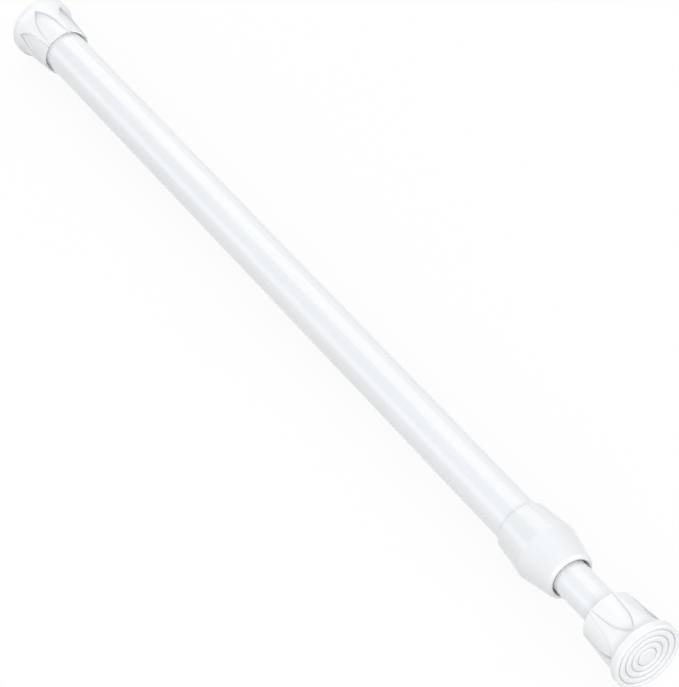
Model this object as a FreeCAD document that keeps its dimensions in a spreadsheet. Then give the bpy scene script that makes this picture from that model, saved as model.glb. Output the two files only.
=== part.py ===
import FreeCAD, Part
import math
import os

import Sketcher
from FreeCAD import Placement, Rotation, Vector

# A white telescopic spring tension rod, in millimetres. The rod lies along +X, with the middle of the
# rear foot's face at the origin and +Z up. A thin tube slides in a thick one. Twisting the thin tube turns
# an eccentric spindle that wedges a split ring in the thick tube, and a coil spring on the spindle's tail
# then presses both feet against the walls.

SIZES = (
    ("overall_length", 386.0, "from face to face with the rod closed"),
    ("outer_tube_dia", 16.0, "outside of the thick tube"),
    ("outer_tube_wall", 0.5, "sheet of the thick tube"),
    ("inner_tube_dia", 12.5, "outside of the thin tube"),
    ("inner_tube_wall", 0.5, "sheet of the thin tube"),
    ("press_gap", 0.02, "radial gap of a pressed joint"),
    ("slide_gap", 0.15, "radial gap of a sliding or turning joint"),
    ("end_gap", 0.2, "lengthwise play of a trapped piece"),
    ("foot_length", 20.5, "foot from its face to its tube end"),
    ("foot_mouth_wall", 1.48, "foot round the thick tube at its tube end"),
    ("foot_taper", 1.0, "radial growth of the hub from its tube end to the flare"),
    ("foot_rim_rise", 1.4, "radial step from the end of the flare to the rim"),
    ("foot_rim_back", 2.7, "from the face to the back of the rim"),
    ("foot_rim_round", 0.6, "rounding of the rim beside the face"),
    ("foot_flare_end", 6.4, "from the face to the end of the flare"),
    ("foot_floor", 4.0, "solid end wall behind the face"),
    ("foot_lead_width", 0.6, "radial width of the socket's lead-in"),
    ("foot_lead_depth", 1.6, "depth of the socket's lead-in"),
    ("foot_roll", 20.0, "turn of the leaves about the rod, in degrees"),
    ("panel_count", 6.0, "arched panels round a foot"),
    ("panel_wall", 1.18, "foot between the thick tube and the panels' round floor"),
    ("panel_apex", 3.8, "from the face to the point of an arch"),
    ("panel_spring", 12.5, "from the face to where an arch starts to close"),
    ("panel_spring_width", 7.5, "arch where it starts to close"),
    ("panel_mouth_width", 8.6, "arch at the tube end"),
    ("relief_depth", 0.5, "depth of the grooves between the rings of the face"),
    ("relief_slope", 0.85, "sloping side of each ring"),
    ("groove_floor", 0.22, "level floor of each groove"),
    ("button_dia", 6.5, "raised middle of the face, at its foot"),
    ("ring_count", 3.0, "rings between the button and the rim"),
    ("rim_lip_top", 0.1, "level top of the rim beside its rounding"),
    ("collar_length", 26.4, "collar from its rear lip to its mouth"),
    ("collar_reach", 39.6, "from the front face back to the collar's mouth"),
    ("collar_ridge_wall", 3.03, "collar round the thick tube at its ridge, before rounding"),
    ("collar_ridge_place", 13.3, "from the rear lip to the ridge"),
    ("collar_ridge_round", 4.0, "rounding of the ridge"),
    ("collar_rear_wall", 1.48, "collar round the thick tube at its rear lip"),
    ("collar_rear_round", 0.4, "rounding of the rear lip"),
    ("collar_mouth_wall", 1.95, "collar round its bore at the mouth"),
    ("collar_mouth_round", 1.4, "rounding of the mouth"),
    ("collar_seat", 21.7, "depth of the thick tube in the collar"),
    ("lock_ring_length", 12.0, "split ring along the rod"),
    ("lock_ring_slit", 4.0, "slit of the split ring"),
    ("journal_dia", 9.2, "eccentric journal of the spindle"),
    ("journal_offset", 1.0, "journal away from the rod's middle"),
    ("journal_play", 0.4, "radial room in the ring for the twist"),
    ("disc_gap", 0.5, "radial gap round the discs at both ends of the journal"),
    ("disc_thickness", 2.5, "each disc"),
    ("rear_room", 2.0, "between the rear foot and the spindle when closed"),
    ("tail_width", 6.0, "square tail of the spindle"),
    ("spring_length", 40.0, "spring as fitted"),
    ("spring_dia", 11.0, "spring to the middle of its wire"),
    ("spring_wire", 1.2, "wire of the spring"),
    ("spring_turns", 8.0, "turns of the spring"),
    ("bush_flange", 2.0, "flange of the guide bush"),
    ("bush_length", 14.0, "guide bush inside the thin tube"),
    ("roll_depth", 0.3, "groove rolled into the thin tube"),
    ("roll_width", 2.0, "width of the rolled groove"),
    ("roll_slope", 0.5, "sloping side of the rolled groove"),
    ("washer_gap", 0.55, "radial gap round the stop washer"),
    ("washer_thickness", 0.8, "stop washer"),
    ("screw_dia", 2.9, "shank of the screw"),
    ("screw_reach", 9.0, "screw in the tail"),
    ("screw_head_dia", 5.6, "head of the screw"),
    ("screw_head_height", 2.0, "head of the screw"),
    ("screw_cross_length", 3.0, "cross recess of the screw"),
    ("screw_cross_width", 0.8, "cross recess of the screw"),
    ("screw_cross_depth", 1.0, "cross recess of the screw"),
)
TOLERANCE = 1e-4

doc = FreeCAD.newDocument("spring_tension_rod")
sheet = doc.addObject("Spreadsheet::Sheet", "sizes")


def fill_sheet():
    """One row of the sheet for each size: what it is, then its value under its own name."""
    for row, (alias, value, meaning) in enumerate(SIZES, 1):
        sheet.set(f"A{row}", meaning)
        sheet.set(f"B{row}", str(value))
        sheet.setAlias(f"B{row}", alias)
    doc.recompute()


def named(expression):
    """Write the sheet's name before each size that an expression uses."""
    words = expression.replace("(", " ( ").replace(")", " ) ").split()
    aliases = {alias for alias, value, meaning in SIZES}
    return " ".join(f"sizes.{word}" if word in aliases else word for word in words)


def value_of(expression):
    """Number that an expression over the sheet stands for now."""
    return float(sheet.evalExpression(named(expression)))


def bind(target, path, expression):
    """Tie a property of an object to the sheet."""
    target.setExpression(path, named(expression))


def new_body(label, place="0"):
    """Body of one sub-part, with its own frame at a place along the rod."""
    body = doc.addObject("PartDesign::Body", label)
    body.Label = label
    bind(body, "Placement.Base.x", place)
    return body


def new_sketch(body, name, role, height="0"):
    """Sketch on one of the body's own origin planes, raised along that plane's normal."""
    sketch = body.newObject("Sketcher::SketchObject", name)
    plane = next(part for part in body.Origin.OriginFeatures if part.Role == role)
    sketch.AttachmentSupport = [(plane, "")]
    sketch.MapMode = "FlatFace"
    bind(sketch, "AttachmentOffset.Base.z", height)
    doc.recompute()
    return sketch


def dimension(sketch, kind, references, expression):
    """Constraint of a sketch whose value comes from the sheet."""
    index = sketch.addConstraint(Sketcher.Constraint(kind, *references, value_of(expression)))
    bind(sketch, f"Constraints[{index}]", expression)


def add_circle(sketch, radius, height="0"):
    """Circle on the sketch's upright axis, at a height above its origin."""
    centre = Vector(0, value_of(height), 0)
    circle = sketch.addGeometry(Part.Circle(centre, Vector(0, 0, 1), value_of(radius)))
    dimension(sketch, "DistanceX", (-1, 1, circle, 3), "0")
    dimension(sketch, "DistanceY", (-1, 1, circle, 3), height)
    dimension(sketch, "Radius", (circle,), radius)


def arc_between(start, end, radius, side):
    """Short arc between two points, and which of its ends is the start.

    side is 1 where the centre lies to the left of the way from start to end, and -1 where it lies right.
    """
    chord = end - start
    across = Vector(-chord.y, chord.x, 0).normalize()
    rise = math.sqrt(radius ** 2 - (chord.Length / 2) ** 2)
    centre = (start + end) / 2 + across * rise * side
    first, last = (start, end) if side > 0 else (end, start)
    angles = [math.atan2(point.y - centre.y, point.x - centre.x) for point in (first, last)]
    circle = Part.Circle(centre, Vector(0, 0, 1), radius)
    return Part.ArcOfCircle(circle, *angles), (1, 2) if side > 0 else (2, 1)


def add_outline(sketch, stations):
    """Closed outline through stations, each a pair of expressions for a point of the sketch.

    A station may add the radius and the side of an arc that leads to the next station.
    """
    points = [Vector(value_of(along), value_of(up), 0) for along, up, *arc in stations]
    pieces = []
    for station, start, end in zip(stations, points, points[1:] + points[:1]):
        if len(station) == 2:
            shape, ends = Part.LineSegment(start, end), (1, 2)
        else:
            shape, ends = arc_between(start, end, value_of(station[2]), station[3])
        pieces.append((sketch.addGeometry(shape), ends))
    for index, (station, (piece, ends)) in enumerate(zip(stations, pieces)):
        before, before_ends = pieces[index - 1]
        sketch.addConstraint(Sketcher.Constraint("Coincident", before, before_ends[1], piece, ends[0]))
        dimension(sketch, "DistanceX", (-1, 1, piece, ends[0]), station[0])
        dimension(sketch, "DistanceY", (-1, 1, piece, ends[0]), station[1])
        if len(station) > 2:
            dimension(sketch, "Radius", (piece,), station[2])


def add_rectangle(sketch, width, height):
    """Rectangle round the sketch's origin."""
    corners = ((1, -1), (1, 1), (-1, 1), (-1, -1))
    add_outline(sketch, [(f"{x} * {width} / 2", f"{y} * {height} / 2") for x, y in corners])


def revolve(body, name, stations):
    """Turned piece: an outline of places along the rod and radii, carried round the rod's middle."""
    sketch = new_sketch(body, f"{name}_outline", "XY_Plane")
    add_outline(sketch, stations)
    turned = body.newObject("PartDesign::Revolution", name)
    turned.Profile = sketch
    turned.ReferenceAxis = (sketch, ["H_Axis"])
    turned.Angle = 360
    doc.recompute()
    return turned


def pad(body, name, sketch, length):
    """Material from a sketch across the rod, forwards along the rod."""
    feature = body.newObject("PartDesign::Pad", name)
    feature.Profile = sketch
    bind(feature, "Length", length)
    doc.recompute()
    return feature


def add_round_bar(body, name, start, length, radius, height="0"):
    """Round stretch of a shaft, from a place along it, with its middle at a height above the rod's."""
    sketch = new_sketch(body, f"{name}_section", "YZ_Plane", start)
    add_circle(sketch, radius, height)
    pad(body, name, sketch, length)


def pocket(body, name, sketch, depth, forwards):
    """Cut from a sketch across the rod, forwards or backwards along the rod, that must remove something."""
    before = body.Shape.Volume
    feature = body.newObject("PartDesign::Pocket", name)
    feature.Profile = sketch
    feature.Reversed = forwards
    bind(feature, "Length", depth)
    doc.recompute()
    if body.Shape.Volume > before - TOLERANCE:
        raise RuntimeError(f"{name} removes nothing")
    return feature


def ring_edges(feature, rings):
    """Names of the round edges that lie at the given places along the rod and radii."""
    found = []
    for number, edge in enumerate(feature.Shape.Edges, 1):
        if not isinstance(edge.Curve, Part.Circle):
            continue
        for place, radius in rings:
            along = abs(edge.Curve.Center.x - value_of(place))
            around = abs(edge.Curve.Radius - value_of(radius))
            if along < TOLERANCE and around < TOLERANCE:
                found.append(f"Edge{number}")
    return found


def round_edge(body, name, feature, place, edge_radius, rounding):
    """Rounded round edge of a turned piece."""
    fillet = body.newObject("PartDesign::Fillet", name)
    fillet.Base = (feature, ring_edges(feature, [(place, edge_radius)]))
    bind(fillet, "Radius", rounding)
    doc.recompute()
    return fillet


def tangent_radius(run, rise, slope):
    """Radius of an arc that climbs by rise over run and then leads smoothly into a line of that slope."""
    return f"( {run} ^ 2 + {rise} ^ 2 ) * ( 1 + {slope} ^ 2 ) ^ 0.5 / 2 / ( {rise} - {run} * {slope} )"


# Places along the rod and radii that several pieces share.
OUTER_TUBE_BORE = "( outer_tube_dia / 2 - outer_tube_wall )"
INNER_TUBE_BORE = "( inner_tube_dia / 2 - inner_tube_wall )"
OUTER_TUBE_SEAT = "( outer_tube_dia / 2 + press_gap )"
COLLAR_BORE = "( inner_tube_dia / 2 + slide_gap )"
COLLAR_REAR_RADIUS = f"( {OUTER_TUBE_SEAT} + collar_rear_wall )"
COLLAR_RIDGE_RADIUS = f"( {OUTER_TUBE_SEAT} + collar_ridge_wall )"
COLLAR_MOUTH_RADIUS = f"( {COLLAR_BORE} + collar_mouth_wall )"
FOOT_MOUTH_RADIUS = f"( {OUTER_TUBE_SEAT} + foot_mouth_wall )"
FOOT_FLARE_RADIUS = f"( {FOOT_MOUTH_RADIUS} + foot_taper )"
FOOT_RIM_RADIUS = f"( {FOOT_FLARE_RADIUS} + foot_rim_rise )"
RIM_LIP_RADIUS = f"( {FOOT_RIM_RADIUS} - foot_rim_round - rim_lip_top )"
GROOVES_END = f"( {RIM_LIP_RADIUS} - relief_slope )"
RING_PITCH = f"( ( {GROOVES_END} - button_dia / 2 - groove_floor ) / ring_count )"
PANEL_FLOOR_RADIUS = f"( {OUTER_TUBE_SEAT} + panel_wall )"
DISC_RADIUS = f"( {OUTER_TUBE_BORE} - disc_gap )"
COLLAR_REAR = "( overall_length - collar_reach - collar_length )"
COLLAR_SHOULDER = f"( {COLLAR_REAR} + collar_seat )"
SPINDLE_REAR = "( foot_floor + rear_room )"
JOURNAL_REAR = f"( {SPINDLE_REAR} + disc_thickness )"
JOURNAL_LENGTH = "( lock_ring_length + 2 * end_gap )"
SPRING_REAR = f"( {JOURNAL_REAR} + {JOURNAL_LENGTH} + disc_thickness )"
BUSH_REAR = f"( {SPRING_REAR} + spring_length )"
INNER_TUBE_REAR = f"( {BUSH_REAR} + bush_flange )"
TAIL_LENGTH = "( spring_length + bush_flange + bush_length + end_gap )"
TAIL_END = f"( {SPRING_REAR} + {TAIL_LENGTH} )"
ROLL_START = "( bush_length / 2 - roll_width / 2 )"
ROLL_END = "( bush_length / 2 + roll_width / 2 )"

# Curves of a foot: the flare meets the hub's taper, and each arch meets its own straight sides.
FLARE_CURVE = tangent_radius(
    "( foot_flare_end - foot_rim_back )",
    "foot_rim_rise",
    "( foot_taper / ( foot_length - foot_flare_end ) )",
)
ARCH_CURVE = tangent_radius(
    "( panel_spring - panel_apex )",
    "( panel_spring_width / 2 )",
    "( ( panel_mouth_width - panel_spring_width ) / 2 / ( foot_length - panel_spring ) )",
)


def make_outer_tube():
    """Thick tube from the rear foot's floor to the collar's shoulder."""
    body = new_body("outer_tube", place="foot_floor")
    sketch = new_sketch(body, "outer_tube_section", "YZ_Plane")
    add_circle(sketch, "outer_tube_dia / 2")
    add_circle(sketch, OUTER_TUBE_BORE)
    pad(body, "outer_tube_length", sketch, f"{COLLAR_SHOULDER} - foot_floor")
    return body


def make_collar():
    """Double cone pressed on the thick tube, with a bore that guides the thin tube."""
    body = new_body("collar", place=COLLAR_REAR)
    turned = revolve(body, "collar_form", [
        ("0", COLLAR_REAR_RADIUS),
        ("collar_ridge_place", COLLAR_RIDGE_RADIUS),
        ("collar_length", COLLAR_MOUTH_RADIUS),
        ("collar_length", COLLAR_BORE),
        ("collar_seat", COLLAR_BORE),
        ("collar_seat", OUTER_TUBE_SEAT),
        ("0", OUTER_TUBE_SEAT),
    ])
    ridge = round_edge(body, "collar_ridge", turned, "collar_ridge_place", COLLAR_RIDGE_RADIUS,
                       "collar_ridge_round")
    mouth = round_edge(body, "collar_mouth", ridge, "collar_length", COLLAR_MOUTH_RADIUS,
                       "collar_mouth_round")
    round_edge(body, "collar_rear_lip", mouth, "0", COLLAR_REAR_RADIUS, "collar_rear_round")
    return body


def face_relief():
    """Stations of the ringed face from the middle out: a button, rings and the rim, with level tops."""
    stations = [
        ("0", "0"),
        ("0", "button_dia / 2 - relief_slope"),
        ("relief_depth", "button_dia / 2"),
    ]
    for ring in range(round(value_of("ring_count"))):
        inside = f"button_dia / 2 + {ring} * {RING_PITCH} + groove_floor"
        outside = f"button_dia / 2 + {ring + 1} * {RING_PITCH}"
        stations += [
            ("relief_depth", inside),
            ("0", f"{inside} + relief_slope"),
            ("0", f"{outside} - relief_slope"),
            ("relief_depth", outside),
        ]
    return stations + [
        ("relief_depth", GROOVES_END),
        ("0", RIM_LIP_RADIUS),
    ]


def make_foot_blank(name, tube_dia):
    """Foot before its panels are sunk: ringed face, rim, flare, tapered hub and the socket for a tube."""
    body = new_body(f"{name}_blank")
    socket = f"{tube_dia} / 2 + press_gap"
    revolve(body, f"{name}_form", face_relief() + [
        ("0", f"{FOOT_RIM_RADIUS} - foot_rim_round", "foot_rim_round", -1),
        ("foot_rim_round", FOOT_RIM_RADIUS),
        ("foot_rim_back", FOOT_RIM_RADIUS, FLARE_CURVE, 1),
        ("foot_flare_end", FOOT_FLARE_RADIUS),
        ("foot_length", FOOT_MOUTH_RADIUS),
        ("foot_length", f"{socket} + foot_lead_width"),
        ("foot_length - foot_lead_depth", socket),
        ("foot_floor", socket),
        ("foot_floor", "0"),
    ])
    return body


def make_arch_prism(number):
    """Prism with the outline of one pointed arch, standing out from the foot's middle."""
    sketch = doc.addObject("Sketcher::SketchObject", f"arch_{number}_outline")
    turn = 360.0 / value_of("panel_count") * number
    sketch.Placement = Placement(Vector(), Rotation(Vector(1, 0, 0), turn))
    past_end = "foot_length + foot_floor"
    add_outline(sketch, [
        ("panel_apex", "0", ARCH_CURVE, -1),
        ("panel_spring", "panel_spring_width / 2"),
        ("foot_length", "panel_mouth_width / 2"),
        (past_end, "panel_mouth_width / 2"),
        (past_end, "-1 * panel_mouth_width / 2"),
        ("foot_length", "-1 * panel_mouth_width / 2"),
        ("panel_spring", "-1 * panel_spring_width / 2", ARCH_CURVE, -1),
    ])
    prism = doc.addObject("Part::Extrusion", f"arch_{number}")
    prism.Base = sketch
    prism.DirMode = "Normal"
    prism.Solid = True
    bind(prism, "LengthFwd", f"2 * {FOOT_RIM_RADIUS}")
    doc.recompute()
    return prism


def make_panel_cutter():
    """All the arched panels of a foot: arch prisms outside the panels' round floor."""
    prisms = [make_arch_prism(number) for number in range(round(value_of("panel_count")))]
    arches = doc.addObject("Part::MultiFuse", "arches")
    arches.Shapes = prisms
    floor = doc.addObject("Part::Cylinder", "panel_floor")
    floor.Placement = Placement(Vector(), Rotation(Vector(0, 1, 0), 90))
    bind(floor, "Radius", PANEL_FLOOR_RADIUS)
    bind(floor, "Height", "2 * foot_length")
    cutter = doc.addObject("Part::Cut", "panels")
    cutter.Base = arches
    cutter.Tool = floor
    doc.recompute()
    return cutter


def make_foot(label, tube_dia, cutter, facing, place):
    """Moulded foot whose leaves are what is left between the sunk panels."""
    foot = doc.addObject("Part::Cut", label)
    foot.Label = label
    foot.Base = make_foot_blank(label, tube_dia)
    foot.Tool = cutter
    roll = Rotation(Vector(1, 0, 0), value_of("foot_roll"))
    foot.Placement = Placement(Vector(), roll.multiply(Rotation(Vector(0, 0, 1), facing)))
    bind(foot, "Placement.Base.x", place)
    doc.recompute()
    if foot.Shape.Volume > foot.Base.Shape.Volume - TOLERANCE:
        raise RuntimeError(f"{label} has no panels")
    return foot


def make_inner_tube():
    """Thin tube from the guide bush's flange to the front foot's floor, rolled in round the bush."""
    body = new_body("inner_tube", place=INNER_TUBE_REAR)
    length = f"overall_length - foot_floor - {INNER_TUBE_REAR}"
    outside = "inner_tube_dia / 2"
    rolled = [
        (ROLL_START, "0"),
        (f"{ROLL_START} + roll_slope", "roll_depth"),
        (f"{ROLL_END} - roll_slope", "roll_depth"),
        (ROLL_END, "0"),
    ]
    outer_side = [(place, f"{outside} - {depth}") for place, depth in rolled]
    inner_side = [(place, f"{INNER_TUBE_BORE} - {depth}") for place, depth in reversed(rolled)]
    revolve(body, "inner_tube_form", [
        ("0", outside),
        *outer_side,
        (length, outside),
        (length, INNER_TUBE_BORE),
        *inner_side,
        ("0", INNER_TUBE_BORE),
    ])
    return body


def make_guide_bush():
    """Plug in the hidden end of the thin tube, with a guide flange and a square bore for the tail."""
    body = new_body("guide_bush", place=BUSH_REAR)
    flange = f"{OUTER_TUBE_BORE} - slide_gap"
    plug = f"{INNER_TUBE_BORE} - press_gap"
    revolve(body, "guide_bush_form", [
        ("0", "0"),
        ("0", flange),
        ("bush_flange", flange),
        ("bush_flange", plug),
        (f"bush_flange + {ROLL_START}", plug),
        (f"bush_flange + {ROLL_START} + roll_slope", f"{plug} - roll_depth"),
        (f"bush_flange + {ROLL_END} - roll_slope", f"{plug} - roll_depth"),
        (f"bush_flange + {ROLL_END}", plug),
        ("bush_flange + bush_length", plug),
        ("bush_flange + bush_length", "0"),
    ])
    sketch = new_sketch(body, "guide_bush_square", "YZ_Plane")
    add_rectangle(sketch, "( tail_width + 2 * slide_gap )", "( tail_width + 2 * slide_gap )")
    pocket(body, "guide_bush_bore", sketch, "bush_flange + bush_length", forwards=True)
    return body


def make_spindle():
    """Core of the lock: a disc, an eccentric journal, a second disc and a square tail with a screw hole."""
    body = new_body("spindle", place=SPINDLE_REAR)
    second_disc = f"disc_thickness + {JOURNAL_LENGTH}"
    add_round_bar(body, "rear_disc", "0", "disc_thickness", DISC_RADIUS)
    add_round_bar(body, "journal", "disc_thickness", JOURNAL_LENGTH, "journal_dia / 2", "journal_offset")
    add_round_bar(body, "front_disc", second_disc, "disc_thickness", DISC_RADIUS)
    sketch = new_sketch(body, "tail_section", "YZ_Plane", f"{second_disc} + disc_thickness")
    add_rectangle(sketch, "tail_width", "tail_width")
    pad(body, "tail", sketch, TAIL_LENGTH)
    sketch = new_sketch(body, "screw_hole_section", "YZ_Plane", f"{TAIL_END} - {SPINDLE_REAR}")
    add_circle(sketch, "screw_dia / 2 + press_gap")
    pocket(body, "screw_hole", sketch, "screw_reach + end_gap", forwards=False)
    return body


def make_lock_ring():
    """Split ring with an eccentric bore, thin and slit at the top, that the journal wedges in the tube."""
    body = new_body("lock_ring", place=f"{JOURNAL_REAR} + end_gap")
    sketch = new_sketch(body, "lock_ring_section", "YZ_Plane")
    add_circle(sketch, f"{OUTER_TUBE_BORE} - slide_gap")
    add_circle(sketch, "journal_dia / 2 + journal_play", "journal_offset")
    pad(body, "lock_ring_form", sketch, "lock_ring_length")
    sketch = new_sketch(body, "lock_ring_slit_section", "YZ_Plane")
    add_outline(sketch, [
        ("lock_ring_slit / 2", "journal_offset"),
        ("lock_ring_slit / 2", "outer_tube_dia / 2"),
        ("-1 * lock_ring_slit / 2", "outer_tube_dia / 2"),
        ("-1 * lock_ring_slit / 2", "journal_offset"),
    ])
    pocket(body, "slit", sketch, "lock_ring_length", forwards=True)
    return body


def make_compression_spring():
    """Coil spring round the tail, with its end turns ground flat for the disc and the bush."""
    helix = doc.addObject("Part::Helix", "spring_line")
    bind(helix, "Radius", "spring_dia / 2")
    bind(helix, "Height", "spring_length + 2 * spring_wire")
    bind(helix, "Pitch", "spring_length / spring_turns")
    bind(helix, "Placement.Base.z", "-1 * spring_wire")
    wire = doc.addObject("Part::Circle", "spring_wire_section")
    wire.Placement = Placement(Vector(), Rotation(Vector(1, 0, 0), 90))
    bind(wire, "Radius", "spring_wire / 2")
    bind(wire, "Placement.Base.x", "spring_dia / 2")
    bind(wire, "Placement.Base.z", "-1 * spring_wire")
    coil = doc.addObject("Part::Sweep", "spring_coil")
    coil.Sections = [wire]
    coil.Spine = (helix, ["Edge1"])
    coil.Frenet = True
    coil.Solid = True
    ends = doc.addObject("Part::Cylinder", "spring_ends")
    bind(ends, "Radius", "spring_dia / 2 + spring_wire")
    bind(ends, "Height", "spring_length")
    spring = doc.addObject("Part::Common", "compression_spring")
    spring.Label = "compression_spring"
    spring.Base = coil
    spring.Tool = ends
    spring.Placement = Placement(Vector(), Rotation(Vector(0, 1, 0), 90))
    bind(spring, "Placement.Base.x", SPRING_REAR)
    doc.recompute()
    return spring


def make_tail_washer():
    """Stop washer on the end of the tail, too wide for the guide bush's bore."""
    body = new_body("tail_washer", place=TAIL_END)
    sketch = new_sketch(body, "tail_washer_section", "YZ_Plane")
    add_circle(sketch, f"{INNER_TUBE_BORE} - washer_gap")
    add_circle(sketch, "screw_dia / 2 + slide_gap")
    pad(body, "tail_washer_form", sketch, "washer_thickness")
    return body


def make_tail_screw():
    """Cross-head screw that holds the washer on the tail."""
    body = new_body("tail_screw", place=f"{TAIL_END} - screw_reach")
    seat = "screw_reach + washer_thickness"
    top = f"{seat} + screw_head_height"
    revolve(body, "tail_screw_form", [
        ("0", "0"),
        ("0", "screw_dia / 4"),
        ("screw_dia / 2", "screw_dia / 2"),
        (seat, "screw_dia / 2"),
        (seat, "screw_head_dia / 2"),
        (top, "screw_head_dia / 2"),
        (top, "0"),
    ])
    arms = ("screw_cross_length", "screw_cross_width")
    for name, (width, height) in (("level_arm", arms), ("upright_arm", arms[::-1])):
        sketch = new_sketch(body, f"{name}_section", "YZ_Plane", top)
        add_rectangle(sketch, width, height)
        pocket(body, name, sketch, "screw_cross_depth", forwards=False)
    return body


def check_document(nodes):
    """Stop unless every object was worked out and every sub-part is one sound solid."""
    doc.recompute()
    for item in doc.Objects:
        if "Invalid" in item.State or "Error" in item.State:
            raise RuntimeError(f"{item.Label} failed: {item.State}")
    for node in nodes:
        if node.Shape.isNull() or not node.Shape.isValid() or len(node.Shape.Solids) != 1:
            raise RuntimeError(f"{node.Label} is not one sound solid")


def write_parts(nodes):
    """One file for each sub-part, named after it."""
    os.makedirs("parts", exist_ok=True)
    for node in nodes:
        node.Shape.exportStep(os.path.join("parts", f"{node.Label}.step"))


def main():
    fill_sheet()
    cutter = make_panel_cutter()
    nodes = [
        make_outer_tube(),
        make_collar(),
        make_foot("rear_foot", "outer_tube_dia", cutter, facing=0, place="0"),
        make_lock_ring(),
        make_spindle(),
        make_compression_spring(),
        make_tail_washer(),
        make_tail_screw(),
        make_guide_bush(),
        make_inner_tube(),
        make_foot("front_foot", "inner_tube_dia", cutter, facing=180, place="overall_length"),
    ]
    check_document(nodes)
    write_parts(nodes)


main()
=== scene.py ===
import math

import bmesh
import bpy
import numpy as np
from bpy.props import FloatProperty, FloatVectorProperty, IntProperty, PointerProperty
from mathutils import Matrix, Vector


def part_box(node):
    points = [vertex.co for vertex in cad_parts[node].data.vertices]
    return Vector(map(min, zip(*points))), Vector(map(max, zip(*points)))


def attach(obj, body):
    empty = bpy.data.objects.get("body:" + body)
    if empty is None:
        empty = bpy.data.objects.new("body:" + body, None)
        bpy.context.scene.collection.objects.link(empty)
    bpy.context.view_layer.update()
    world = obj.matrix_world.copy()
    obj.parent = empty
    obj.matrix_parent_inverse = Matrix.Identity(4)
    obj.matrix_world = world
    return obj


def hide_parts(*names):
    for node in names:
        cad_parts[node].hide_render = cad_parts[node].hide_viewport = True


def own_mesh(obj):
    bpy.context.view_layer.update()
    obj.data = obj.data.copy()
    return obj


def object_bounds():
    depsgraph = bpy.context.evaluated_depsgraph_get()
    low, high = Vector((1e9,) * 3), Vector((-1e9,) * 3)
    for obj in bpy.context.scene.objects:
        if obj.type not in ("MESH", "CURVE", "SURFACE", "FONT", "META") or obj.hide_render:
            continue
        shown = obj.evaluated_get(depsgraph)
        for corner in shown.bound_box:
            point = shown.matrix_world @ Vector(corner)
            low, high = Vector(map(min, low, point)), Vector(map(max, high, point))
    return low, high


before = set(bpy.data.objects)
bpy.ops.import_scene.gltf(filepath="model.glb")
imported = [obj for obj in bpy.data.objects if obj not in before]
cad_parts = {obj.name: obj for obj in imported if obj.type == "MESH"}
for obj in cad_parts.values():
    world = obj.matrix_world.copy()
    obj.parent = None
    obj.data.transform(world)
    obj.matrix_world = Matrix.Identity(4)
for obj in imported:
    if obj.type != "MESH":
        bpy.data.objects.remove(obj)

bl_info = {
    "name": "Spring Tension Rod",
    "version": (1, 0, 0),
    "blender": (4, 5, 0),
    "location": "View3D > Sidebar > Tension Rod",
    "description": "Skins, finishes and studio of a white telescopic spring tension rod",
    "category": "Object",
}

# The rod lies along X, in metres, with the rear foot's face at the origin and +Z up. Places along the rod
# are called along, distances from its middle line radius, and angles about it run from +Y towards +Z.

CAD_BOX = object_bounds()
MM = 0.001
TURN = 2 * math.pi
# Points closer than this are merged.
MERGE_DISTANCE = 1e-7
# A guard point stands this far from a rounded corner's end, or a quarter of the run where that is less.
GUARD = 0.12 * MM

# Rows of a foot's grid: from a ring's top to its groove, along the flare and along the taper.
BEAD_ROWS = 14
FLARE_ROWS = 34
TAPER_ROWS = 52
# Columns of a foot's grid: shares of the way over half a panel, places across its wall in wall widths and
# shares of the way over half a leaf. The last number is a panel's least half width, in wall widths.
PANEL_SHARES = np.linspace(0.0, 1.0, 6)[:-1]
WALL_PLACES = np.linspace(-0.6, 0.6, 7)
LEAF_SHARES = np.array([0.16, 0.36, 0.6, 0.8, 1.0])
NARROWEST_PANEL = 1.4

# Shared grain: detail of its two noises, roughness of the fine one, spread of the cloud's values, share of
# each noise in the finish's roughness and spread of those two shares together.
CLOUD_DETAIL = 4.0
GRAIN_DETAIL = 3.0
GRAIN_ROUGHNESS = 0.6
CLOUD_SPREAD = (0.3, 0.7)
NOISE_SHARE = 0.5
ROUGHNESS_SPREAD = (0.25, 1.0)

# Soft boxes, all at one distance from the rod's line: name, place along that line, angle about it in
# degrees, length, height, radiance and colour.
LAMP_DISTANCE = 2.4
LAMPS = (
    ("top_box", -2.388, 68.5, 3.038, 2.606, 1.04, (1.0, 0.995, 0.985)),
    ("left_box", -2.388, 164.0, 3.038, 1.286, 0.9, (0.97, 0.985, 1.0)),
    ("right_box", -2.388, 21.5, 3.038, 1.606, 0.33, (1.0, 1.0, 1.0)),
    ("front_right_box", 2.888, 35.0, 3.038, 2.238, 1.87, (1.0, 1.0, 1.0)),
    ("front_left_box", 2.888, 147.5, 3.038, 2.499, 3.5, (1.0, 1.0, 1.0)),
)


def distance(name, description, millimetres):
    """Property for a length of the rod, given in millimetres and kept in metres."""
    return FloatProperty(name=name, description=description, default=millimetres * MM, min=0.0,
                         subtype="DISTANCE", unit="LENGTH", precision=5)


def tint(name, description, red, green, blue):
    """Property for a colour of the rod or its studio."""
    return FloatVectorProperty(name=name, description=description, default=(red, green, blue), size=3,
                               min=0.0, max=1.0, subtype="COLOR")


def share(name, description, value):
    """Property for a plain number from 0 to 1."""
    return FloatProperty(name=name, description=description, default=value, min=0.0, max=1.0,
                         subtype="FACTOR")


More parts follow.
